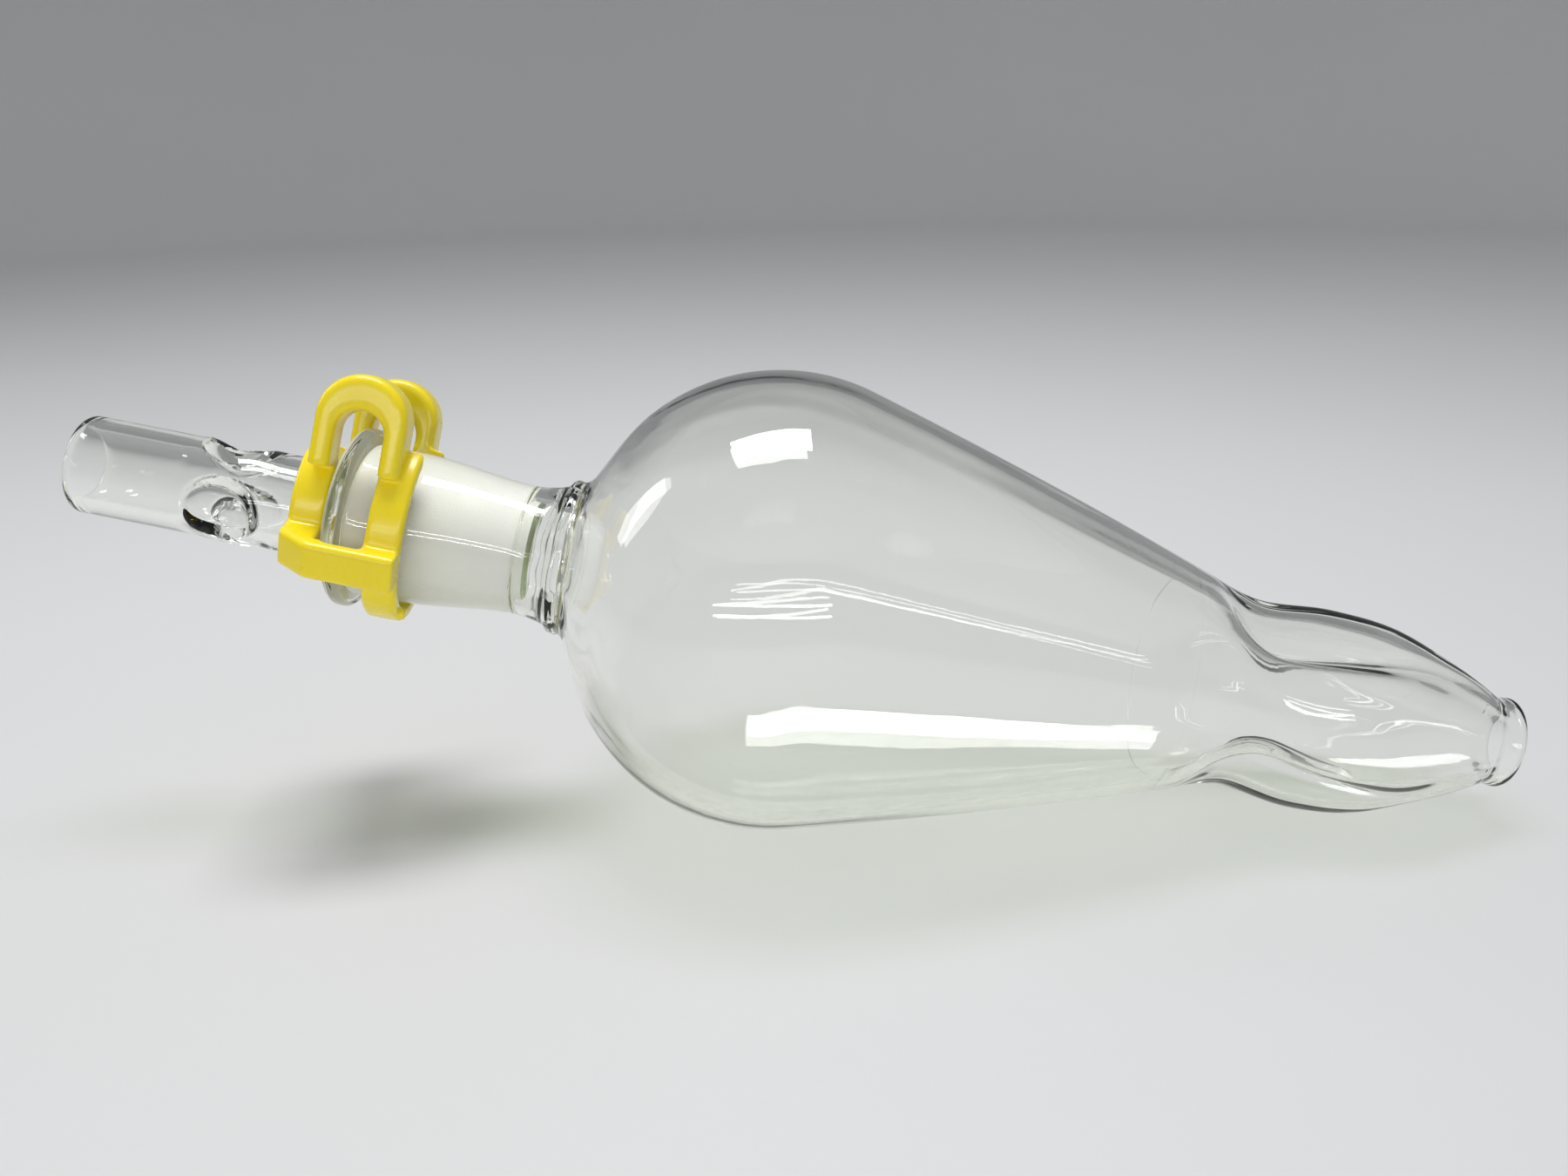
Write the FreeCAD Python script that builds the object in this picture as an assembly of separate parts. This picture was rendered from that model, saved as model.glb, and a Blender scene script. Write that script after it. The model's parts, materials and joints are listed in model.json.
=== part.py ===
import FreeCAD, Part
import math
import os

# A blown glass pear vessel with a ground taper socket as its neck, lying on its side.
# A dimpled tube adapter with a ground cone sits in the socket, and a moulded clip holds the two together.
# Everything is modelled along the glass axis first: X runs from the adapter to the outlet stem and
# X = 0 is the open face of the socket. Turns about the axis are counted from -Y, upwards.
# Millimetres.

Vector = FreeCAD.Vector

# ---- ground taper joint, 14.5 mm at the large end, 20 mm long, 1 in 10 ----
joint_large_radius = 7.25
joint_taper = 0.05              # radius lost per mm of length
ground_zone_end = 21.3          # where the socket's ground zone stops
joint_clearance = 0.05          # radial gap between ground cone and ground socket
cone_start = 1.6                # where the cone's ground zone starts
cone_end = 23.6                 # lower end of the cone, past the socket's ground zone
cone_end_round = 0.7

# ---- socket ----
lip_radius = joint_large_radius + 3.75
lip_length = 2.0
lip_round = 0.9
lip_back_round = 0.72
socket_radius = joint_large_radius + 1.95                   # where the clip holds it
clip_land_end = 8.6             # end of the socket's straight outside
ground_bore_end_radius = joint_large_radius - joint_taper * ground_zone_end
socket_end_radius = ground_bore_end_radius + 1.765
neck_bore_radius = ground_bore_end_radius + 0.515
neck_bore_step = 0.8            # length of the step from the ground bore to the neck's bore
neck_flare_radius = neck_bore_radius + 2.0
neck_flare_slope = 0.35
neck_end = 25.6

# ---- fused seal between neck and pear ----
seal_bead_radius = neck_flare_radius + 1.0
seal_groove_radius = neck_flare_radius + 0.6
seal_groove_shift = 0.5         # from the seal's middle to its bead and to its groove
seal_end = 28.6
seal_end_radius = neck_flare_radius + 1.7
seal_inner_bead = neck_bore_radius - 0.5
pear_wall = 1.6

# ---- pear ----
belly_station = 52.9
belly_radius = 27.9
belly_curve = 25.2              # radius of the belly arc along the axis
shoulder_angle = 48.6           # slope of the shoulder, degrees
side_angle = 15.4               # slope of the long side where the belly arc ends, degrees
waist_start = 101.0             # where the pinched stretch begins
waist_start_radius = 14.5
waist_start_angle = 18.3        # slope of the side there, degrees
side_crown = 0.3                # how far the long side bows out of its chord

# ---- pinched mouth bulb ----
waist_station = 111.0
waist_radius = 12.2
bulb_station = 121.0
bulb_radius = 12.9
bulb_curve = 25.0               # radius of the bulb's outline where it is widest
bulb_crest_run = 7.0            # how far past its widest the bulb follows that radius closely
bulb_closing_run = 12.5         # and where it starts to close
lead_drop = 0.35                # how far the outline dips below a straight line ahead of the waist
bulb_end = 141.0
bulb_end_radius = 5.9
bulb_end_slope = -0.55
pinch_count = 3
pinch_turn = 76.0               # direction of the first pinch
pinch_depth = 5.4
pinch_station = 113.5
pinch_lead_in = 11.0
pinch_run_out = 25.0
pinch_half_width = 45.0         # degrees around the axis, at the deepest station
bulb_wall = 1.6
section_points = 72             # points around each cross-section of the bulb
section_count = 22              # cross-sections along it
bulb_sag = 0.8                  # the soft bulb hangs this far below the glass axis

# ---- outlet stem ----
stem_radius = 5.4
stem_rim_radius = 5.55
stem_end = 144.3
stem_bore_radius = 3.9
stem_bore_step = 0.8            # length of the step from the bulb's inside to the stem's bore
stem_neck_run = 1.2             # from the bulb's end to the stem's slimmest place
stem_rim_slope = 0.05
stem_rim_round = 0.7

# ---- tube adapter ----
tube_radius = 6.0
tube_bore_radius = tube_radius - 1.8
tube_end = -33.0
tube_rim_round = 0.8
dimple_station = -14.2
dimple_turn = 111.0
dimple_count = 3
dimple_width = 7.8
dimple_depth = 2.6
dimple_wall = 1.5
dimple_edge_round = 0.5
dimple_margin = 2.2             # plain tube each side of a dimple, inside the dimpled node
dimple_swell = 0.25             # how far the heated stretch swells between the dimples
flare_start = -0.9              # where the tube flares out to the cone

# ---- joint clip ----
clip_middle = 1.65
clip_window = 5.3               # axial gap between the two rings
small_ring_length = 4.1
large_ring_length = 4.2
small_ring_gap = 0.75           # radial gap to the tube, room for the clip's lean
large_ring_gap = 0.75
small_ring_wall = 1.6
small_ring_offset = 0.9         # the small ring's outside is off centre, thicker towards the mouth
large_ring_wall = 1.6
clip_turn = 104.0               # direction of the clip's mouth
clip_lean = 1.0
clip_yaw = 5.0
mouth_half_width = 6.2
lug_width = 10.4                # along the axis
lug_strap = 2.5
lug_crown = 1.6                 # how much thicker the strap is over the top of its arch
lug_depth = 5.2
lug_reach = 17.4                # from the axis to the top of the arch
lug_foot = 6.2
lug_edge_round = 1.0
bar_turn = 110.0                # from the mouth to each bar
bar_width = 4.6
bar_wall = 1.9
bar_edge_round = 0.7
bar_lip_gap = 0.9
bar_inner_bevel = 1.0
bar_shoulder_run = 0.6          # from the small ring's inner face back to where the bar reaches its full height
clip_edge_round = 0.5
gate_nub_radius = 0.8
gate_nub_length = 0.7
gate_nub_turn = 158.0           # from the mouth, towards the front


def face_of(edges):
    return Part.Face(Part.Wire(Part.sortEdges(edges)[0]))


def line(start, end):
    return Part.LineSegment(start, end).toShape()


def curve_through(points, first=None, last=None):
    curve = Part.BSplineCurve()
    if first is None:
        curve.interpolate(points)
    else:
        curve.interpolate(Points=points, InitialTangent=first, FinalTangent=last)
    return curve


def outline(points):
    return [line(points[i], points[(i + 1) % len(points)]) for i in range(len(points))]


def turned(edges):
    """A closed outline in the X-radius plane, turned about the glass axis."""
    return face_of(edges).revolve(Vector(0, 0, 0), Vector(1, 0, 0), 360)


def at(x, radius):
    return Vector(x, 0, radius)


def ring_between(x_start, x_end, bore, radius):
    pipe = Part.makeCylinder(radius, x_end - x_start, at(x_start, 0), Vector(1, 0, 0))
    return pipe.cut(Part.makeCylinder(bore, x_end - x_start, at(x_start, 0), Vector(1, 0, 0)))


def round_edges(solid, radius, chosen):
    return solid.makeFillet(radius, [edge for edge in solid.Edges if chosen(edge)])


def circle_edge(x, radius):
    """Tells the circular edge at a station and radius from the others."""
    def test(edge):
        box = edge.BoundBox
        return box.XLength < 0.01 and abs(box.Center.x - x) < 0.01 and abs(box.ZLength / 2 - radius) < 0.05
    return test


def turn_about_axis(shape, degrees):
    """Turns a shape modelled towards +Z so that it points in the given direction."""
    turned_shape = shape.copy()
    turned_shape.rotate(Vector(0, 0, 0), Vector(1, 0, 0), 90.0 - degrees)
    return turned_shape


# ---- the glass vessel ----

def socket_bore(x):
    return joint_large_radius - joint_taper * x


def make_socket_lip():
    edges = outline([at(0, socket_bore(0)), at(lip_length, socket_bore(lip_length)),
                     at(lip_length, lip_radius), at(0, lip_radius)])
    lip = turned(edges)
    lip = round_edges(lip, lip_round, circle_edge(0, lip_radius))
    return round_edges(lip, lip_back_round, circle_edge(lip_length, lip_radius))


def make_ground_socket():
    land_end = at(clip_land_end, socket_radius)
    foot = at(ground_zone_end, socket_end_radius)
    along = Vector(1, 0, 0)
    slope = Vector(1, 0, (socket_end_radius - socket_radius) / (ground_zone_end - clip_land_end) / 2)
    waist = curve_through([land_end, foot], along, slope).toShape()
    edges = [line(at(lip_length, socket_bore(lip_length)), at(lip_length, socket_radius)),
             line(at(lip_length, socket_radius), land_end),
             waist,
             line(foot, at(ground_zone_end, socket_bore(ground_zone_end))),
             line(at(ground_zone_end, socket_bore(ground_zone_end)), at(lip_length, socket_bore(lip_length)))]
    return turned(edges)


def make_neck_tube():
    start = at(ground_zone_end, socket_end_radius)
    end = at(neck_end, neck_flare_radius)
    outer = curve_through([start, end], Vector(1, 0, 0), Vector(1, 0, neck_flare_slope)).toShape()
    bore_start = at(ground_zone_end, socket_bore(ground_zone_end))
    bore_step = at(ground_zone_end + neck_bore_step, neck_bore_radius)
    bore_end = at(neck_end, neck_bore_radius)
    edges = [outer, line(end, bore_end), line(bore_end, bore_step), line(bore_step, bore_start),
             line(bore_start, start)]
    return turned(edges)


def make_seal_ring():
    inner_end = seal_end_radius - pear_wall / math.cos(math.radians(shoulder_angle))
    middle = (neck_end + seal_end) / 2
    outer = curve_through([at(neck_end, neck_flare_radius), at(middle - seal_groove_shift, seal_bead_radius),
                           at(middle + seal_groove_shift, seal_groove_radius),
                           at(seal_end, seal_end_radius)]).toShape()
    inner = curve_through([at(seal_end, inner_end), at(middle, seal_inner_bead),
                           at(neck_end, neck_bore_radius)]).toShape()
    edges = [outer, line(at(seal_end, seal_end_radius), at(seal_end, inner_end)), inner,
             line(at(neck_end, neck_bore_radius), at(neck_end, neck_flare_radius))]
    return turned(edges)


def belly_point(angle, inset):
    """A point of the belly arc, or of the arc one wall inside it."""
    radius = belly_curve - inset
    return at(belly_station + radius * math.sin(angle), belly_radius - belly_curve + radius * math.cos(angle))


def pear_line(inset):
    """The pear's outline from seal to waist, and the same one wall further in."""
    rise = math.radians(shoulder_angle)
    fall = math.radians(side_angle)
    waist_fall = math.radians(waist_start_angle)
    drop = inset / math.cos(rise)
    start = at(seal_end, seal_end_radius - drop)
    belly_start = belly_point(-rise, inset)
    belly_top = belly_point(0, inset)
    belly_end = belly_point(fall, inset)
    finish = at(waist_start, waist_start_radius - inset / math.cos(waist_fall))
    chord = finish - belly_end
    across = Vector(-chord.z, 0, chord.x).normalize() * side_crown
    side = Part.Arc(belly_end, belly_end + chord * 0.5 + across, finish).toShape()
    belly = Part.Arc(belly_start, belly_top, belly_end).toShape()
    return [line(start, belly_start), belly, side], start, finish


def make_pear_bulb():
    outer, outer_start, outer_end = pear_line(0)
    inner, inner_start, inner_end = pear_line(pear_wall)
    return turned(outer + inner + [line(outer_start, inner_start), line(outer_end, inner_end)])


def mouth_outline():
    """The outline of the mouth bulb's lobes, from the pear to the stem."""
    slope = math.tan(math.radians(waist_start_angle))
    lead = (waist_start + waist_station) / 2
    lead_radius = (waist_start_radius + waist_radius) / 2 - lead_drop
    crest = math.sqrt(bulb_curve ** 2 - bulb_crest_run ** 2) - bulb_curve
    closing = math.sqrt(bulb_curve ** 2 - bulb_closing_run ** 2) - bulb_curve
    points = [at(waist_start, waist_start_radius), at(lead, lead_radius), at(waist_station, waist_radius),
              at(bulb_station, bulb_radius), at(bulb_station + bulb_crest_run, bulb_radius + crest),
              at(bulb_station + bulb_closing_run, bulb_radius + closing), at(bulb_end, bulb_end_radius)]
    return curve_through(points, Vector(1, 0, -slope), Vector(1, 0, bulb_end_slope))


def pinch(x, turn):
    """How deep the wall is pushed in at a station and direction."""
    reach = pinch_lead_in if x < pinch_station else pinch_run_out
    spacing = 360.0 / pinch_count
    off = (turn - pinch_turn + spacing / 2) % spacing - spacing / 2
    share = math.hypot((x - pinch_station) / reach, off / pinch_half_width)
    if share >= 1:
        return 0.0
    return pinch_depth * (0.5 + 0.5 * math.cos(math.pi * share))


def lobed_section(x, radius):
    sag = bulb_sag * math.sin(math.pi * (x - waist_start) / (bulb_end - waist_start)) ** 2
    points = []
    for step in range(section_points):
        turn = 360.0 / section_points * step
        reach = radius - pinch(x, turn)
        height = reach * math.sin(math.radians(turn)) - sag
        points.append(Vector(x, -reach * math.cos(math.radians(turn)), height))
    curve = Part.BSplineCurve()
    curve.interpolate(Points=points, PeriodicFlag=True)
    return Part.Wire([curve.toShape()])


def lobed_solid(wall):
    curve = mouth_outline()
    sections = []
    for step in range(section_count + 1):
        place = curve.FirstParameter + (curve.LastParameter - curve.FirstParameter) * step / section_count
        point = curve.value(place)
        sections.append(lobed_section(point.x, point.z - wall))
    return Part.makeLoft(sections, True, False)


def make_mouth_bulb():
    return lobed_solid(0).cut(lobed_solid(bulb_wall))


def make_outlet_stem():
    bore_start = at(bulb_end, bulb_end_radius - bulb_wall)
    outer_start = at(bulb_end, bulb_end_radius)
    outer_end = at(stem_end, stem_rim_radius)
    bore_land = at(bulb_end + stem_bore_step, stem_bore_radius)
    bore_end = at(stem_end, stem_bore_radius)
    outer = curve_through([outer_start, at(bulb_end + stem_neck_run, stem_radius), outer_end],
                          Vector(1, 0, bulb_end_slope), Vector(1, 0, stem_rim_slope)).toShape()
    stem = turned([outer, line(outer_end, bore_end), line(bore_end, bore_land), line(bore_land, bore_start),
                   line(bore_start, outer_start)])
    stem = round_edges(stem, stem_rim_round, circle_edge(stem_end, stem_rim_radius))
    return round_edges(stem, stem_rim_round, circle_edge(stem_end, stem_bore_radius))


# ---- the tube adapter ----

dimpled_start = dimple_station - dimple_width / 2 - dimple_margin
dimpled_end = dimple_station + dimple_width / 2 + dimple_margin


def make_inlet_tube():
    tube = ring_between(tube_end, dimpled_start, tube_bore_radius, tube_radius)
    tube = round_edges(tube, tube_rim_round, circle_edge(tube_end, tube_radius))
    return round_edges(tube, tube_rim_round, circle_edge(tube_end, tube_bore_radius))


def swollen_rod(radius):
    """The heated stretch as a solid rod, slightly barrel shaped."""
    start = at(dimpled_start, radius)
    end = at(dimpled_end, radius)
    barrel = Part.Arc(start, at(dimple_station, radius + dimple_swell), end).toShape()
    return turned([barrel, line(end, at(dimpled_end, 0)), line(at(dimpled_end, 0), at(dimpled_start, 0)),
                   line(at(dimpled_start, 0), start)])


def make_dimpled_tube():
    half = dimple_width / 2
    press = (half ** 2 + dimple_depth ** 2) / (2 * dimple_depth)
    centre_height = tube_radius - dimple_depth + press
    outside = swollen_rod(tube_radius)
    inside = swollen_rod(tube_bore_radius)
    for number in range(dimple_count):
        direction = dimple_turn + 360.0 / dimple_count * number
        dent = turn_about_axis(Part.makeSphere(press, at(dimple_station, centre_height)), direction)
        bump = turn_about_axis(Part.makeSphere(press + dimple_wall, at(dimple_station, centre_height)), direction)
        outside = outside.cut(dent)
        inside = inside.cut(bump)
    rims = [edge for edge in outside.Edges if half < edge.BoundBox.XLength < 1.3 * dimple_width]
    return outside.makeFillet(dimple_edge_round, rims).cut(inside)


def cone_radius(x):
    return socket_bore(x) - joint_clearance


def make_cone_shoulder():
    flare_end = at(cone_start, cone_radius(cone_start))
    flare_foot = at(flare_start, tube_radius)
    flare = curve_through([flare_foot, flare_end], Vector(1, 0, 0), Vector(1, 0, 0)).toShape()
    edges = [line(at(dimpled_end, tube_bore_radius), at(dimpled_end, tube_radius)),
             line(at(dimpled_end, tube_radius), flare_foot),
             flare,
             line(flare_end, at(cone_start, tube_bore_radius)),
             line(at(cone_start, tube_bore_radius), at(dimpled_end, tube_bore_radius))]
    return turned(edges)


def make_ground_cone():
    cone = turned(outline([at(cone_start, tube_bore_radius), at(cone_start, cone_radius(cone_start)),
                           at(cone_end, cone_radius(cone_end)), at(cone_end, tube_bore_radius)]))
    return round_edges(cone, cone_end_round, circle_edge(cone_end, cone_radius(cone_end)))


# ---- the joint clip, modelled with its mouth towards +Z and its middle at X = 0 ----

small_ring_bore = tube_radius + small_ring_gap
large_ring_bore = socket_radius + large_ring_gap
large_ring_radius = large_ring_bore + large_ring_wall
small_ring_radius = small_ring_bore + small_ring_wall + small_ring_offset
window_half = clip_window / 2
small_ring_start = -window_half - small_ring_length
large_ring_end = window_half + large_ring_length
bar_inside = lip_radius + bar_lip_gap


def along_axis(x_start, x_end, radius, height=0.0):
    """A cylinder between two stations, its centre line raised towards the mouth."""
    return Part.makeCylinder(radius, x_end - x_start, at(x_start, height), Vector(1, 0, 0))


def clip_ring(x_start, x_end, radius, height):
    """One ring before its bore is cut: a rounded disc with the mouth taken out."""
    disc = along_axis(x_start, x_end, radius, height)
    disc = disc.makeFillet(clip_edge_round, [edge for edge in disc.Edges if edge.BoundBox.XLength < 0.01])
    mouth = Part.makeBox(x_end - x_start, 2 * mouth_half_width, 2 * radius,
                         Vector(x_start, -mouth_half_width, 0))
    return disc.cut(mouth)


def make_lug():
    """The arched finger lug beside the mouth, from the end of one ring to the end of the other."""
    half = lug_width / 2
    spring = lug_reach - half
    inner = half - lug_strap
    inner_spring = spring - lug_crown
    outside = [line(Vector(-half, 0, lug_foot), Vector(-half, 0, spring)),
               Part.Arc(Vector(-half, 0, spring), Vector(0, 0, lug_reach), Vector(half, 0, spring)).toShape(),
               line(Vector(half, 0, spring), Vector(half, 0, lug_foot)),
               line(Vector(half, 0, lug_foot), Vector(inner, 0, lug_foot)),
               line(Vector(inner, 0, lug_foot), Vector(inner, 0, inner_spring)),
               Part.Arc(Vector(inner, 0, inner_spring), Vector(0, 0, inner_spring + inner),
                        Vector(-inner, 0, inner_spring)).toShape(),
               line(Vector(-inner, 0, inner_spring), Vector(-inner, 0, lug_foot)),
               line(Vector(-inner, 0, lug_foot), Vector(-half, 0, lug_foot))]
    lug = face_of(outside).extrude(Vector(0, lug_depth, 0))
    lug.translate(Vector(0, mouth_half_width, 0))
    rims = [edge for edge in lug.Edges if edge.BoundBox.YLength < 0.01 and edge.BoundBox.ZMin > lug_foot - 0.01
            and edge.BoundBox.ZLength > 0.01]
    return lug.makeFillet(lug_edge_round, rims)


def make_bar():
    """A strap that bridges the two rings outside the socket's lip."""
    top = bar_inside + bar_wall
    low = small_ring_bore + small_ring_wall / 2
    left_top = (small_ring_radius + top) / 2
    points = [at(small_ring_start, low), at(small_ring_start, left_top), at(-window_half - bar_shoulder_run, top),
              at(large_ring_end, top), at(large_ring_end, large_ring_bore + large_ring_wall / 2),
              at(window_half, large_ring_bore + large_ring_wall / 2), at(window_half, bar_inside),
              at(-window_half + bar_inner_bevel, bar_inside), at(-window_half, bar_inside - bar_inner_bevel),
              at(-window_half, low)]
    bar = face_of(outline(points)).extrude(Vector(0, bar_width, 0))
    bar.translate(Vector(0, -bar_width / 2, 0))
    rims = [edge for edge in bar.Edges if edge.BoundBox.YLength < 0.01 and edge.BoundBox.ZMin > left_top - 0.01]
    return bar.makeFillet(bar_edge_round, rims)


def make_gate_nub():
    """The stub that moulding leaves on the large ring's outer face."""
    nub = Part.makeCylinder(gate_nub_radius, gate_nub_length + large_ring_length / 2,
                            at(large_ring_end - large_ring_length / 2, large_ring_bore + large_ring_wall / 2),
                            Vector(1, 0, 0))
    nub.rotate(Vector(0, 0, 0), Vector(1, 0, 0), gate_nub_turn)
    return nub


def make_joint_clip():
    clip = clip_ring(small_ring_start, -window_half, small_ring_radius, small_ring_offset)
    clip = clip.fuse(clip_ring(window_half, large_ring_end, large_ring_radius, 0.0))
    for side in (-1, 1):
        bar = make_bar()
        bar.rotate(Vector(0, 0, 0), Vector(1, 0, 0), side * bar_turn)
        clip = clip.fuse(bar)
    lug = make_lug()
    clip = clip.fuse(lug).fuse(lug.mirror(Vector(0, 0, 0), Vector(0, 1, 0)))
    clip = clip.fuse(make_gate_nub())
    clip = clip.cut(along_axis(small_ring_start, -window_half, small_ring_bore))
    clip = clip.cut(along_axis(window_half, large_ring_end + gate_nub_length, large_ring_bore))
    return clip.cut(along_axis(-window_half, window_half, bar_inside))


def place_clip(clip):
    clip = clip.copy()
    clip.rotate(Vector(0, 0, 0), Vector(0, 1, 0), clip_lean)
    clip.rotate(Vector(0, 0, 0), Vector(0, 0, 1), clip_yaw)
    clip = turn_about_axis(clip, clip_turn)
    clip.translate(Vector(clip_middle, 0, 0))
    return clip


# ---- the lying pose: belly and mouth bulb both touch the ground ----

def lying_tilt():
    """Slope of the ground line that touches the belly arc and the mouth bulb's arc from below."""
    belly_centre = belly_curve - belly_radius
    bulb_centre = bulb_curve - bulb_radius - bulb_sag
    run = bulb_station - belly_station
    rise = bulb_centre - belly_centre
    return math.asin((belly_curve - bulb_curve) / math.hypot(run, rise)) + math.atan2(rise, run)


def lie_down(shapes):
    tilt = lying_tilt()
    for shape in shapes.values():
        shape.rotate(Vector(0, 0, 0), Vector(0, 1, 0), math.degrees(tilt))
    box = Part.makeCompound(list(shapes.values())).optimalBoundingBox(False, False)
    for shape in shapes.values():
        shape.translate(Vector(-box.Center.x, -box.Center.y, -box.ZMin))


def main():
    shapes = {
        "socket_lip": make_socket_lip(),
        "ground_socket": make_ground_socket(),
        "neck_tube": make_neck_tube(),
        "seal_ring": make_seal_ring(),
        "pear_bulb": make_pear_bulb(),
        "mouth_bulb": make_mouth_bulb(),
        "outlet_stem": make_outlet_stem(),
        "inlet_tube": make_inlet_tube(),
        "dimpled_tube": make_dimpled_tube(),
        "cone_shoulder": make_cone_shoulder(),
        "ground_cone": make_ground_cone(),
        "joint_clip": place_clip(make_joint_clip()),
    }
    lie_down(shapes)
    os.makedirs("parts", exist_ok=True)
    for name, shape in shapes.items():
        shape.Solids[0].exportStep("parts/" + name + ".step")


main()
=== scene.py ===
import json
import math
import bpy
from mathutils import Matrix, Vector, noise


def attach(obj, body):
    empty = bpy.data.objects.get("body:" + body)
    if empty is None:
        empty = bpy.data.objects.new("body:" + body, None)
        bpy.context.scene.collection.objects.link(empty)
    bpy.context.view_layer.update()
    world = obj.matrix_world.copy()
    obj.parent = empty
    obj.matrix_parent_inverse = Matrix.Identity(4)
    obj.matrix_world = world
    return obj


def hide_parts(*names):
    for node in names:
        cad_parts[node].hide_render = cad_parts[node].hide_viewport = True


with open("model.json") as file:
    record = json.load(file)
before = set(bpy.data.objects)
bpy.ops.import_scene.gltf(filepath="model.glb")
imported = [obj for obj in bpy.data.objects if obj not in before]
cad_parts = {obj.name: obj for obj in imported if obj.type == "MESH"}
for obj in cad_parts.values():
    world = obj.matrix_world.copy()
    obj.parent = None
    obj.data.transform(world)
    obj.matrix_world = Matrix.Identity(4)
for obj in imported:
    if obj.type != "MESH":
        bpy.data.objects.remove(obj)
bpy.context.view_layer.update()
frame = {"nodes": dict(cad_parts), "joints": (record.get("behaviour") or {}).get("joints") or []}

# A blown glass pear vessel lying on its side, with a dimpled glass tube clipped into its ground neck.
# Shapes are given along the glass axis in millimetres: station 0 is the socket's open face, stations
# grow towards the outlet stem, and turns about the axis are counted from the front, upwards.

MM = 0.001
SPIN_STEPS = 144
MERGE = 1e-6                    # metres
SMOOTH_ANGLE = math.radians(50)
LEAST_STEP = 0.02               # points of a section nearer than this are one point

# ---- where the glass axis lies ----
pivot = Vector(frame["joints"][0]["pos_m"])
axis = Vector(frame["joints"][0]["axis"]).normalized()
across = Vector((0, 1, 0))
turn_to_axis = Matrix((axis, across, axis.cross(across))).transposed()
face_reach = min((v.co - pivot).dot(axis) for v in frame["nodes"]["socket_lip"].data.vertices)
face_centre = pivot + axis * face_reach
lying = Matrix.Translation(face_centre) @ turn_to_axis.to_4x4()
upright = lying.inverted()


def extent(node):
    """First and last station and inside and outside radius of a turned node, in millimetres."""
    points = [upright @ v.co for v in frame["nodes"][node].data.vertices]
    stations = [p.x / MM for p in points]
    radii = [math.hypot(p.y, p.z) / MM for p in points]
    return min(stations), max(stations), min(radii), max(radii)


_, lip_end, _, lip_radius = extent("socket_lip")
_, zone_end, zone_end_bore, socket_radius = extent("ground_socket")
_, neck_end, _, neck_radius = extent("neck_tube")
_, seal_end, seal_bore, seal_radius = extent("seal_ring")
_, waist_start, _, belly_radius = extent("pear_bulb")
_, bulb_end, _, _ = extent("mouth_bulb")
_, stem_end, stem_bore, _ = extent("outlet_stem")
tube_end, dimpled_start, tube_bore, tube_radius = extent("inlet_tube")
_, dimpled_end, _, _ = extent("dimpled_tube")
cone_start, cone_end, _, cone_radius = extent("ground_cone")

# ---- shape values that the frame does not give ----
TAPER = 0.05                    # radius lost per millimetre along the ground joint
joint_radius = zone_end_bore + TAPER * zone_end
lip_round = 0.9
lip_back_round = 0.72
lip_mouth_round = 0.3
lip_foot = 0.5                  # hollow round where the lip meets the socket
clip_land_end = 8.6
socket_end_radius = zone_end_bore + 1.765
socket_end_slope = -0.03
neck_bore = zone_end_bore + 0.515
neck_step_slope = 0.6
bore_step = 0.8                 # length of the steps at both ends of the narrow bores
neck_flare_slope = 0.35
seal_groove_shift = 0.5
bead_radius = 9.6
groove_radius = 9.45
shoulder_slope = 1.75
wall = 1.6
belly_station = 52.9
belly_curve = 25.2
shoulder_angle = 48.6
side_angle = 15.4
waist_angle = 18.3
side_crown = 0.3
waist_start_radius = 14.5
waist_station = 111.0
waist_radius = 12.2
waist_lead_drop = 0.35
bulb_station = 121.0
bulb_radius = 12.9
bulb_curve = 25.0
bulb_crest_run = 7.0
bulb_closing_run = 12.5
bulb_end_radius = 5.9
bulb_end_slope = -0.55
bulb_sag = 0.8
pinch_count = 3
pinch_turn = 76.0
pinch_depth = 5.4
pinch_station = 113.5
pinch_lead_in = 11.0
pinch_run_out = 25.0
pinch_half_width = 45.0         # degrees
stem_radius = 5.4
stem_rim_radius = 5.55
stem_rim_round = 0.7
stem_rim_slope = 0.05
stem_neck_run = 1.2
tube_rim_round = 0.8
dimple_station = -14.2
dimple_turn = 111.0
dimple_count = 3
dimple_width = 7.8
dimple_depth = 2.6
dimple_wall = 1.5
dimple_blend = 0.55             # how softly a dimple's rim runs into the tube
dimple_swell = 0.25
flare_start = -0.9
cone_end_round = 0.7
cone_mouth_round = 0.3

# ---- how closely the sections are divided ----
plain_step = 1.2
side_step = 1.1
blown_step = 0.9
neck_step = 0.7
fine_step = 0.4
bead_step = 0.3
dent_step = 0.22
belly_steps = 30
rim_steps = 8
stem_rim_steps = 6
foot_steps = 5
mouth_steps = 4

# ---- how far the worked glass wanders from true ----
outer_streaks = 0.05
inner_streaks = 0.10
slow_swell = 0.09
seal_lumps = 0.30
dent_wander = 0.12
dent_fade = 2.0

# ---- where the glass is ground ----
ground_rim = 0.4
ground_margin = 0.15
face_depth = 0.05
cone_ground_least = 5.5

# ---- how the clip's mesh is evened out ----
clip_skin_size = 0.2
clip_soften_rounds = 22


# ---- drawing sections ----

def arc(station, radius, size, first, last, steps):
    """Points round an arc, its directions counted from the axis, in degrees."""
    points = []
    for step in range(steps + 1):
        way = math.radians(first + (last - first) * step / steps)
        points.append(Vector((station + size * math.cos(way), radius + size * math.sin(way))))
    return points


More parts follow.
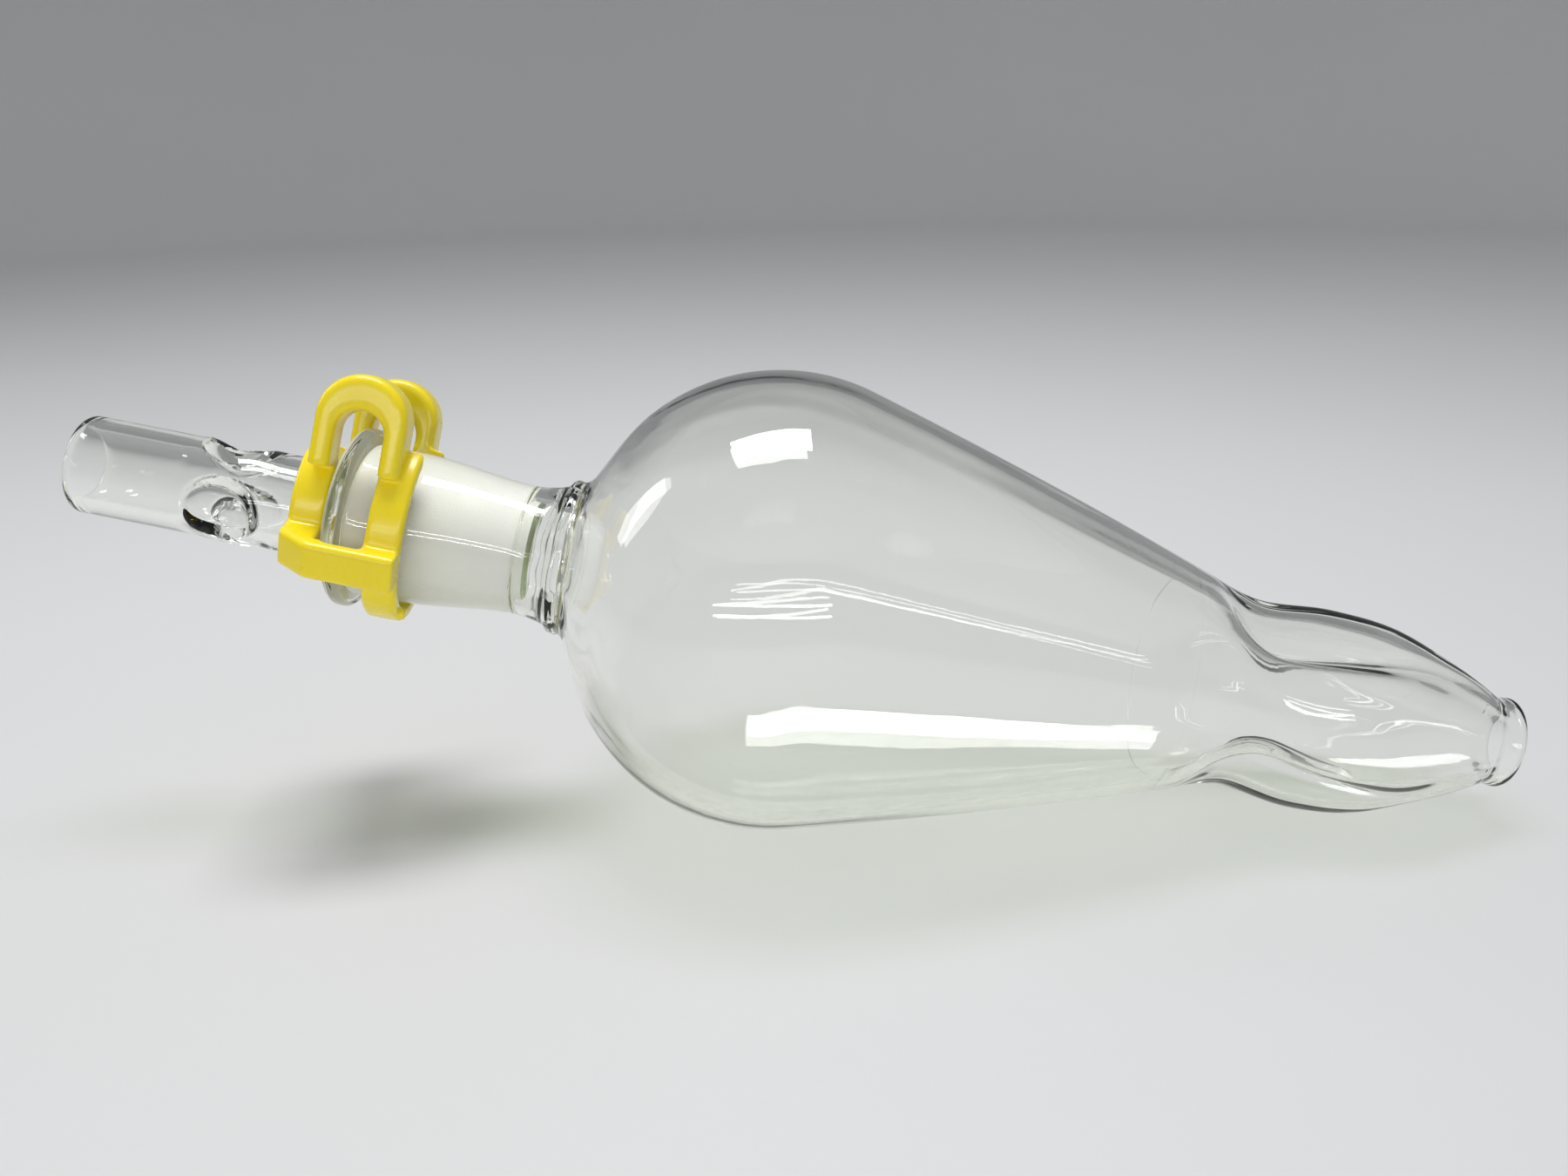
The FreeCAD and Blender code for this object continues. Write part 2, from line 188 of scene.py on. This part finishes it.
def flow(points, slope_in, slope_out, spacing):
    """A smooth line through a few points, with the given slopes at its two ends."""
    points = [Vector(p) for p in points]
    last = len(points) - 1
    ways = [Vector((1, slope_in)).normalized()]
    for i in range(1, last):
        before = points[i] - points[i - 1]
        after = points[i + 1] - points[i]
        ways.append((before.normalized() * after.length + after.normalized() * before.length).normalized())
    ways.append(Vector((1, slope_out)).normalized())
    line = []
    for i in range(last):
        start, end = points[i], points[i + 1]
        run = (end - start).length
        steps = max(1, round(run / spacing))
        for step in range(steps):
            t = step / steps
            line.append(start * (2 * t ** 3 - 3 * t ** 2 + 1) + end * (3 * t ** 2 - 2 * t ** 3)
                        + ways[i] * run * (t ** 3 - 2 * t ** 2 + t) + ways[i + 1] * run * (t ** 3 - t ** 2))
    line.append(points[last])
    return line


def joined(*runs):
    """Runs end to end, with no point twice."""
    section = []
    for run in runs:
        for point in run:
            point = Vector(point)
            if not section or (point - section[-1]).length > LEAST_STEP:
                section.append(point)
    if (section[0] - section[-1]).length < LEAST_STEP:
        section.pop()
    return section


def start_alone(thing):
    bpy.ops.object.select_all(action="DESELECT")
    thing.select_set(True)
    bpy.context.view_layer.objects.active = thing


def draw_section(name, section):
    """A ring of edges whose points are set out along the section, in the axis-radius plane."""
    bpy.ops.object.select_all(action="DESELECT")
    bpy.ops.mesh.primitive_circle_add(vertices=len(section), radius=MM, fill_type="NOTHING")
    piece = bpy.context.object
    piece.name = name
    for vertex, point in zip(piece.data.vertices, section):
        vertex.co = (point.x * MM, 0, point.y * MM)
    bpy.ops.object.mode_set(mode="EDIT")
    bpy.ops.mesh.select_all(action="SELECT")
    return piece


def turn_section(name, section):
    """The section turned once about the glass axis into a closed shell."""
    piece = draw_section(name, section)
    bpy.ops.mesh.spin(steps=SPIN_STEPS, angle=math.tau, center=(0, 0, 0), axis=(1, 0, 0))
    bpy.ops.mesh.select_all(action="SELECT")
    bpy.ops.mesh.remove_doubles(threshold=MERGE)
    bpy.ops.mesh.normals_make_consistent(inside=False)
    bpy.ops.object.mode_set(mode="OBJECT")
    return piece


def ease(value, start, end):
    t = min(1.0, max(0.0, (value - start) / (end - start)))
    return t * t * (3 - 2 * t)


def polar(point):
    """Station, radius and turn of a point before it is laid down, in millimetres and degrees."""
    return point.x / MM, math.hypot(point.y, point.z) / MM, math.degrees(math.atan2(point.z, -point.y))


def faces_axis(piece):
    """Which points of a turned shell are on its inside, found before any of them is moved."""
    return [v.normal.dot(Vector((0, v.co.y, v.co.z))) < 0 for v in piece.data.vertices]


def set_polar(vertex, station, radius, turn):
    way = math.radians(turn)
    vertex.co = Vector((station, -radius * math.cos(way), radius * math.sin(way))) * MM


# ---- the vessel ----

def belly_arc(inset, steps):
    size = belly_curve - inset
    return arc(belly_station, belly_radius - belly_curve, size, 90 + shoulder_angle, 90 - side_angle, steps)


def pear_side(inset, spacing):
    start = belly_arc(inset, 2)[-1]
    end = Vector((waist_start, waist_start_radius - inset / math.cos(math.radians(waist_angle))))
    chord = end - start
    middle = start + chord / 2 + Vector((-chord.y, chord.x)).normalized() * side_crown
    return flow([start, middle, end], -math.tan(math.radians(side_angle)),
                -math.tan(math.radians(waist_angle)), spacing)


def mouth_line(inset, spacing):
    lead = (waist_start + waist_station) / 2
    crest = math.sqrt(bulb_curve ** 2 - bulb_crest_run ** 2) - bulb_curve
    closing = math.sqrt(bulb_curve ** 2 - bulb_closing_run ** 2) - bulb_curve
    lead_radius = (waist_start_radius + waist_radius) / 2 - waist_lead_drop
    corners = [(waist_start, waist_start_radius), (lead, lead_radius),
               (waist_station, waist_radius), (bulb_station, bulb_radius),
               (bulb_station + bulb_crest_run, bulb_radius + crest),
               (bulb_station + bulb_closing_run, bulb_radius + closing), (bulb_end, bulb_end_radius)]
    line = flow(corners, -math.tan(math.radians(waist_angle)), bulb_end_slope, spacing)
    return [point - Vector((0, inset)) for point in line]


def vessel_section():
    seal_middle = (neck_end + seal_end) / 2
    shoulder_rise = math.tan(math.radians(shoulder_angle))
    stem_land = stem_end - stem_rim_round
    outside = joined(
        arc(lip_round, lip_radius - lip_round, lip_round, 180, 90, rim_steps),
        arc(lip_end - lip_back_round, lip_radius - lip_back_round, lip_back_round, 90, 0, rim_steps - 1),
        arc(lip_end + lip_foot, socket_radius + lip_foot, lip_foot, 180, 270, foot_steps),
        flow([(lip_end + lip_foot, socket_radius), (clip_land_end, socket_radius),
              (zone_end, socket_end_radius)], 0, socket_end_slope, plain_step),
        flow([(zone_end, socket_end_radius), (neck_end, neck_radius)], 0, neck_flare_slope, neck_step),
        flow([(neck_end, neck_radius), (seal_middle - seal_groove_shift, bead_radius),
              (seal_middle + seal_groove_shift, groove_radius), (seal_end, seal_radius)],
             neck_flare_slope, shoulder_slope, bead_step),
        flow([(seal_end, seal_radius), belly_arc(0, 2)[0]], shoulder_slope, shoulder_rise, blown_step),
        belly_arc(0, belly_steps), pear_side(0, side_step), mouth_line(0, blown_step),
        flow([(bulb_end, bulb_end_radius), (bulb_end + stem_neck_run, stem_radius),
              (stem_land, stem_rim_radius)], bulb_end_slope, stem_rim_slope, fine_step),
        arc(stem_land, stem_rim_radius - stem_rim_round, stem_rim_round, 90, 0, stem_rim_steps))
    inner_start = Vector((seal_end, seal_radius - wall / math.cos(math.radians(shoulder_angle))))
    inside = joined(
        arc(lip_mouth_round, joint_radius + lip_mouth_round, lip_mouth_round, 180, 270, mouth_steps),
        flow([(lip_mouth_round, joint_radius - TAPER * lip_mouth_round), (zone_end, zone_end_bore)],
             -TAPER, -TAPER, plain_step),
        flow([(zone_end, zone_end_bore), (zone_end + bore_step, neck_bore)], neck_step_slope, 0, fine_step),
        flow([(zone_end + bore_step, neck_bore), (neck_end, neck_bore), (seal_middle, seal_bore),
              inner_start], 0, shoulder_slope, fine_step),
        flow([inner_start, belly_arc(wall, 2)[0]], shoulder_slope, shoulder_rise, blown_step),
        belly_arc(wall, belly_steps), pear_side(wall, side_step), mouth_line(wall, blown_step),
        flow([(bulb_end, bulb_end_radius - wall), (bulb_end + bore_step, stem_bore),
              (stem_land, stem_bore)], bulb_end_slope, 0, fine_step),
        arc(stem_land, stem_bore + stem_rim_round, stem_rim_round, 270, 360, stem_rim_steps))
    return joined(outside, inside[::-1])


def pinch(station, turn):
    """How deep the mouth bulb's wall is pushed in."""
    reach = pinch_lead_in if station < pinch_station else pinch_run_out
    spacing = 360.0 / pinch_count
    off = (turn - pinch_turn + spacing / 2) % spacing - spacing / 2
    share = math.hypot((station - pinch_station) / reach, off / pinch_half_width)
    return pinch_depth * (0.5 + 0.5 * math.cos(math.pi * min(share, 1.0)))


def hand_work(station, turn, inner):
    """How far the flame-worked wall wanders from true, in millimetres."""
    way = math.radians(turn)
    side = 40.0 if inner else 0.0
    around = Vector((math.cos(way), math.sin(way), 0)) * 1.6
    streaks = noise.noise(around * 3.2 + Vector((side, 0, station * 0.018)))
    swell = noise.noise(around * 0.8 + Vector((side, 7, station * 0.05)))
    lumps = noise.noise(around * 1.9 + Vector((side, 3, station * 0.22)))
    blown = ease(station, seal_end, seal_end + 10)
    seal = ease(station, neck_end - 2.5, neck_end + 0.5) * (1 - ease(station, seal_end, seal_end + 3))
    stem = 1 - ease(station, bulb_end - 2, stem_end)
    streak_depth = inner_streaks if inner else outer_streaks
    return blown * stem * (streak_depth * streaks + slow_swell * swell) + seal * seal_lumps * lumps


def make_vessel_glass():
    piece = turn_section("vessel_glass", vessel_section())
    for vertex, inner in zip(piece.data.vertices, faces_axis(piece)):
        station, radius, turn = polar(vertex.co)
        radius += hand_work(station, turn, inner)
        if station > waist_start - pinch_lead_in:
            radius -= pinch(station, turn)
        set_polar(vertex, station, radius, turn)
        if waist_start < station < bulb_end:
            share = (station - waist_start) / (bulb_end - waist_start)
            vertex.co.z -= bulb_sag * math.sin(math.pi * share) ** 2 * MM
    return piece


# ---- the dimpled adapter ----

def adapter_section():
    tube_land = tube_end + tube_rim_round
    cone_land = cone_end - cone_end_round
    cone_land_radius = cone_radius - TAPER * (cone_land - cone_start)
    cone_end_radius = cone_radius - TAPER * (cone_end - cone_start)
    barrel = [(dimpled_start, tube_radius), (dimple_station, tube_radius + dimple_swell),
              (dimpled_end, tube_radius)]
    barrel_bore = [(station, radius - tube_radius + tube_bore) for station, radius in barrel]
    outside = joined(
        arc(tube_land, tube_radius - tube_rim_round, tube_rim_round, 180, 90, rim_steps),
        flow([(tube_land, tube_radius), (dimpled_start, tube_radius)], 0, 0, blown_step),
        flow(barrel, 0, 0, dent_step),
        flow([(dimpled_end, tube_radius), (flare_start, tube_radius)], 0, 0, blown_step),
        flow([(flare_start, tube_radius), (cone_start, cone_radius)], 0, 0, bead_step),
        flow([(cone_start, cone_radius), (cone_land, cone_land_radius)], -TAPER, -TAPER, plain_step),
        arc(cone_land, cone_end_radius - cone_end_round, cone_end_round, 90, 0, foot_steps))
    inside = joined(
        arc(tube_land, tube_bore + tube_rim_round, tube_rim_round, 180, 270, rim_steps),
        flow([(tube_land, tube_bore), (dimpled_start, tube_bore)], 0, 0, blown_step),
        flow(barrel_bore, 0, 0, dent_step),
        flow([(dimpled_end, tube_bore), (cone_end - cone_mouth_round, tube_bore)], 0, 0, plain_step),
        arc(cone_end - cone_mouth_round, tube_bore + cone_mouth_round, cone_mouth_round,
            270, 360, mouth_steps))
    return joined(outside, inside[::-1])


def soft_least(a, b, blend):
    """The smaller of two heights, with a rounded corner where they cross."""
    share = max(blend - abs(a - b), 0.0) / blend
    return min(a, b) - share * share * blend / 4


def dented(station, radius, turn, inner):
    """The radius after the dimples are pressed in."""
    half = dimple_width / 2
    ball = (half ** 2 + dimple_depth ** 2) / (2 * dimple_depth)
    height = tube_radius - dimple_depth + ball
    size = ball + (dimple_wall if inner else 0.0)
    spacing = 360.0 / dimple_count
    off = math.radians((turn - dimple_turn + spacing / 2) % spacing - spacing / 2)
    room = size ** 2 - (station - dimple_station) ** 2 - (height * math.sin(off)) ** 2
    if room <= 0 or math.cos(off) <= 0:
        return radius
    return soft_least(radius, height * math.cos(off) - math.sqrt(room), dimple_blend)


def make_adapter_glass():
    piece = turn_section("adapter_glass", adapter_section())
    for vertex, inner in zip(piece.data.vertices, faces_axis(piece)):
        station, radius, turn = polar(vertex.co)
        if dimpled_start < station < dimpled_end:
            way = math.radians(turn)
            around = Vector((math.cos(way), math.sin(way), station * 0.25)) * 1.4
            heated = ease(station, dimpled_start, dimpled_start + dent_fade)
            heated *= 1 - ease(station, dimpled_end - dent_fade, dimpled_end)
            radius = dented(station, radius, turn, inner) + dent_wander * heated * noise.noise(around)
        set_polar(vertex, station, radius, turn)
    return piece


# ---- the clip ----

def make_joint_clip():
    """The clip as it leaves the mould: every edge softly rounded."""
    mesh = frame["nodes"]["joint_clip"].data.copy()
    piece = bpy.data.objects.new("joint_clip_moulding", mesh)
    bpy.context.scene.collection.objects.link(piece)
    start_alone(piece)
    bpy.ops.object.mode_set(mode="EDIT")
    bpy.ops.mesh.select_all(action="SELECT")
    bpy.ops.mesh.remove_doubles(threshold=MERGE)
    bpy.ops.mesh.normals_make_consistent(inside=False)
    bpy.ops.object.mode_set(mode="OBJECT")
    remesh = piece.modifiers.new("even_skin", "REMESH")
    remesh.mode = "VOXEL"
    remesh.voxel_size = clip_skin_size * MM
    remesh.use_smooth_shade = True
    soften = piece.modifiers.new("soften", "SMOOTH")
    soften.factor = 0.5
    soften.iterations = clip_soften_rounds
    bpy.ops.object.modifier_apply(modifier="even_skin")
    bpy.ops.object.modifier_apply(modifier="soften")
    return piece


# ---- finishes ----

def surface_group():
    """Slow variation and fine texture that the glass and the moulding share."""
    group = bpy.data.node_groups.new("worked_surface", "ShaderNodeTree")
    side = group.interface
    for name, kind, value in (("Scale", "NodeSocketFloat", 60.0), ("Grain Scale", "NodeSocketFloat", 900.0),
                              ("Grain Share", "NodeSocketFloat", 0.5),
                              ("Low Roughness", "NodeSocketFloat", 0.0),
                              ("High Roughness", "NodeSocketFloat", 0.1),
                              ("Light Colour", "NodeSocketColor", (1, 1, 1, 1)),
                              ("Deep Colour", "NodeSocketColor", (1, 1, 1, 1))):
        side.new_socket(name, in_out="INPUT", socket_type=kind).default_value = value
    side.new_socket("Colour", in_out="OUTPUT", socket_type="NodeSocketColor")
    side.new_socket("Roughness", in_out="OUTPUT", socket_type="NodeSocketFloat")
    side.new_socket("Height", in_out="OUTPUT", socket_type="NodeSocketFloat")
    nodes, links = group.nodes, group.links
    given = nodes.new("NodeGroupInput")
    out = nodes.new("NodeGroupOutput")
    place = nodes.new("ShaderNodeTexCoord")
    slow = nodes.new("ShaderNodeTexNoise")
    slow.inputs["Detail"].default_value = 3.0
    grain = nodes.new("ShaderNodeTexNoise")
    grain.inputs["Detail"].default_value = 2.0
    rough = nodes.new("ShaderNodeMapRange")
    rough.inputs["From Min"].default_value = 0.35
    rough.inputs["From Max"].default_value = 0.7
    blend = nodes.new("ShaderNodeMix")
    blend.data_type = "RGBA"
    relief = nodes.new("ShaderNodeMix")
    relief.data_type = "FLOAT"
    for texture, scale in ((slow, "Scale"), (grain, "Grain Scale")):
        links.new(place.outputs["Object"], texture.inputs["Vector"])
        links.new(given.outputs[scale], texture.inputs["Scale"])
    links.new(slow.outputs["Fac"], rough.inputs["Value"])
    links.new(given.outputs["Low Roughness"], rough.inputs["To Min"])
    links.new(given.outputs["High Roughness"], rough.inputs["To Max"])
    links.new(slow.outputs["Fac"], blend.inputs[0])
    links.new(given.outputs["Light Colour"], blend.inputs[6])
    links.new(given.outputs["Deep Colour"], blend.inputs[7])
    links.new(given.outputs["Grain Share"], relief.inputs[0])
    links.new(slow.outputs["Fac"], relief.inputs[2])
    links.new(grain.outputs["Fac"], relief.inputs[3])
    links.new(blend.outputs[2], out.inputs["Colour"])
    links.new(rough.outputs["Result"], out.inputs["Roughness"])
    links.new(relief.outputs[0], out.inputs["Height"])
    return group


worked_surface = surface_group()


def finish_material(name, values, bump_strength, bump_distance):
    """A material on the shared surface group, and its shader."""
    material = bpy.data.materials.new(name)
    material.use_nodes = True
    nodes, links = material.node_tree.nodes, material.node_tree.links
    shader = nodes["Principled BSDF"]
    surface = nodes.new("ShaderNodeGroup")
    surface.node_tree = worked_surface
    for socket, value in values.items():
        surface.inputs[socket].default_value = value
    bump = nodes.new("ShaderNodeBump")
    bump.inputs["Strength"].default_value = bump_strength
    bump.inputs["Distance"].default_value = bump_distance
    links.new(surface.outputs["Colour"], shader.inputs["Base Color"])
    links.new(surface.outputs["Roughness"], shader.inputs["Roughness"])
    links.new(surface.outputs["Height"], bump.inputs["Height"])
    links.new(bump.outputs["Normal"], shader.inputs["Normal"])
    return material, shader


def let_lamps_through(material, shader, tone):
    """Light passes the glass instead of leaving a hard dark shadow or a burnt patch under it."""
    nodes, links = material.node_tree.nodes, material.node_tree.links
    path = nodes.new("ShaderNodeLightPath")
    clear = nodes.new("ShaderNodeBsdfTransparent")
    clear.inputs["Color"].default_value = tone
    surface = shader.outputs["BSDF"]
    for ray in ("Is Diffuse Ray", "Is Shadow Ray"):
        mix = nodes.new("ShaderNodeMixShader")
        links.new(path.outputs[ray], mix.inputs["Fac"])
        links.new(surface, mix.inputs[1])
        links.new(clear.outputs["BSDF"], mix.inputs[2])
        surface = mix.outputs["Shader"]
    links.new(surface, nodes["Material Output"].inputs["Surface"])


def make_clear_glass():
    material, shader = finish_material("clear_borosilicate", {
        "Scale": 45.0, "Grain Scale": 260.0, "Grain Share": 0.25,
        "Low Roughness": 0.0, "High Roughness": 0.025,
        "Light Colour": (1.0, 1.0, 1.0, 1), "Deep Colour": (0.975, 0.985, 0.965, 1)}, 0.06, 0.0006)
    shader.inputs["Transmission Weight"].default_value = 1.0
    shader.inputs["IOR"].default_value = 1.474
    let_lamps_through(material, shader, (0.94, 0.95, 0.93, 1))
    tint = material.node_tree.nodes.new("ShaderNodeVolumeAbsorption")
    tint.inputs["Color"].default_value = (0.90, 0.93, 0.74, 1)
    tint.inputs["Density"].default_value = 26.0
    whole = material.node_tree.nodes["Material Output"]
    material.node_tree.links.new(tint.outputs["Volume"], whole.inputs["Volume"])
    return material


def make_ground_glass():
    material, shader = finish_material("ground_glass_face", {
        "Scale": 220.0, "Grain Scale": 6000.0, "Grain Share": 0.7,
        "Low Roughness": 0.5, "High Roughness": 0.68,
        "Light Colour": (0.97, 0.965, 0.935, 1), "Deep Colour": (0.93, 0.92, 0.88, 1)}, 0.25, 0.0002)
    shader.inputs["Transmission Weight"].default_value = 0.18
    shader.inputs["IOR"].default_value = 1.474
    let_lamps_through(material, shader, (0.72, 0.72, 0.69, 1))
    return material


def make_clip_plastic():
    material, shader = finish_material("yellow_acetal", {
        "Scale": 140.0, "Grain Scale": 1500.0, "Grain Share": 0.35,
        "Low Roughness": 0.22, "High Roughness": 0.36,
        "Light Colour": (1.0, 0.82, 0.012, 1), "Deep Colour": (0.97, 0.72, 0.008, 1)}, 0.18, 0.0002)
    shader.inputs["Subsurface Weight"].default_value = 0.25
    shader.inputs["Subsurface Radius"].default_value = (0.0012, 0.0009, 0.0002)
    shader.inputs["Coat Weight"].default_value = 0.15
    shader.inputs["Coat Roughness"].default_value = 0.12
    return material


clear_glass = make_clear_glass()
ground_glass = make_ground_glass()
clip_plastic = make_clip_plastic()


def finish_glass(piece, ground):
    """Smooth glass with ground faces where the joint seats, then laid down on its side."""
    piece.data.materials.clear()
    piece.data.materials.append(clear_glass)
    piece.data.materials.append(ground_glass)
    for face in piece.data.polygons:
        station, radius, _ = polar(face.center)
        face.material_index = 1 if ground(station, radius) else 0
    piece.data.transform(lying)
    piece.data.update()
    start_alone(piece)
    bpy.ops.object.shade_smooth_by_angle(angle=SMOOTH_ANGLE)


def socket_is_ground(station, radius):
    """The socket's tapered bore and the flat of its lip."""
    in_bore = ground_rim < station < zone_end and radius < joint_radius + ground_margin
    return in_bore or (station < face_depth and radius < lip_radius - lip_round)


def cone_is_ground(station, radius):
    return cone_start < station < cone_end - cone_end_round and radius > cone_ground_least


vessel = make_vessel_glass()
finish_glass(vessel, socket_is_ground)
adapter = make_adapter_glass()
finish_glass(adapter, cone_is_ground)
clip = make_joint_clip()
clip.data.materials.clear()
clip.data.materials.append(clip_plastic)

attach(vessel, "vessel")
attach(adapter, "adapter")
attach(clip, "clip")
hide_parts("socket_lip", "ground_socket", "neck_tube", "seal_ring", "pear_bulb", "mouth_bulb",
            "outlet_stem")
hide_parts("inlet_tube", "dimpled_tube", "cone_shoulder", "ground_cone")
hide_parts("joint_clip")


# ---- floor, light and camera ----

floor_eye = 0.01
floor_reach = 900.0
floor_curve = 260.0
floor_curve_steps = 14
floor_turn_steps = 96
wall_height = 900.0


def make_cove():
    """A pale floor that curves up into a wall all round."""
    curve = arc(floor_reach, floor_curve, floor_curve, 270, 360, floor_curve_steps)
    line = joined([(floor_eye, 0), (floor_reach, 0)], curve, [(floor_reach + floor_curve, wall_height)])
    bpy.ops.object.select_all(action="DESELECT")
    bpy.ops.mesh.primitive_circle_add(vertices=3, radius=MM)
    cove = bpy.context.object
    cove.name = "floor_cove"
    bpy.ops.object.mode_set(mode="EDIT")
    bpy.ops.mesh.select_all(action="SELECT")
    bpy.ops.mesh.merge(type="CENTER")
    bpy.ops.transform.translate(value=(line[0].x * MM, 0, line[0].y * MM))
    for before, after in zip(line, line[1:]):
        step = (after - before) * MM
        bpy.ops.mesh.extrude_region_move(TRANSFORM_OT_translate={"value": (step.x, 0, step.y)})
    bpy.ops.mesh.select_all(action="SELECT")
    bpy.ops.mesh.spin(steps=floor_turn_steps, angle=math.tau, center=(0, 0, 0), axis=(0, 0, 1))
    bpy.ops.mesh.select_all(action="SELECT")
    bpy.ops.mesh.remove_doubles(threshold=0.1 * MM)
    bpy.ops.mesh.normals_make_consistent(inside=True)
    bpy.ops.object.mode_set(mode="OBJECT")
    bpy.ops.object.shade_smooth_by_angle(angle=SMOOTH_ANGLE)
    material, shader = finish_material("pale_floor", {
        "Scale": 6.0, "Grain Scale": 900.0, "Grain Share": 0.5,
        "Low Roughness": 0.42, "High Roughness": 0.55,
        "Light Colour": (0.70, 0.70, 0.70, 1), "Deep Colour": (0.67, 0.67, 0.675, 1)}, 0.03, 0.0002)
    cove.data.materials.append(material)
    return cove


def soft_light(name, place, aim, width, height, power):
    """A rectangular soft light that faces a point and stays out of the camera's sight."""
    bpy.ops.object.light_add(type="AREA", location=place)
    lamp = bpy.context.object
    lamp.name = name
    lamp.data.shape = "RECTANGLE"
    lamp.data.size = width
    lamp.data.size_y = height
    lamp.data.energy = power
    lamp.visible_camera = False
    lamp.rotation_euler = (Vector(aim) - Vector(place)).to_track_quat("-Z", "Y").to_euler()
    return lamp


make_cove()

aim_station = 53.9
aim = lying @ Vector((aim_station * MM, 0, 0))
soft_light("overhead_softbox", (-0.02, 0.08, 0.50), aim, 0.26, 0.12, 1.7)
soft_light("front_strip_low", (0.02, -0.52, 0.14), aim, 0.60, 0.012, 0.40)
soft_light("front_strip_high", (0.02, -0.50, 0.19), aim, 0.60, 0.012, 0.36)
soft_light("left_fill", (-0.55, 0.10, 0.35), aim, 0.10, 0.30, 0.45)

world = bpy.data.worlds.new("soft_room")
world.use_nodes = True
world.node_tree.nodes["Background"].inputs["Color"].default_value = (0.95, 0.97, 1.0, 1)
world.node_tree.nodes["Background"].inputs["Strength"].default_value = 0.44
bpy.context.scene.world = world
bpy.context.scene.view_settings.view_transform = "Standard"

camera_elevation = math.radians(20.0)
camera_azimuth = math.radians(3.9)
camera_roll = math.radians(-1.23)
camera_distance = 0.1601
camera_rise = 0.001584

away = Vector((-math.sin(camera_azimuth) * math.cos(camera_elevation),
               math.cos(camera_azimuth) * math.cos(camera_elevation), -math.sin(camera_elevation)))
level = Vector((math.cos(camera_azimuth), math.sin(camera_azimuth), 0))
rise = level.cross(away)
side_way = math.cos(camera_roll) * level + math.sin(camera_roll) * rise
top_way = -math.sin(camera_roll) * level + math.cos(camera_roll) * rise
bpy.ops.object.camera_add(location=aim - away * camera_distance + top_way * camera_rise)
camera = bpy.context.object
camera.name = "view_camera"
camera.data.sensor_width = 36.0
camera.data.lens = 29.92
camera.data.clip_start = 0.005
camera.data.clip_end = 20.0
camera.rotation_mode = "QUATERNION"
camera.rotation_quaternion = Matrix((side_way, top_way, -away)).transposed().to_quaternion()
bpy.context.scene.camera = camera
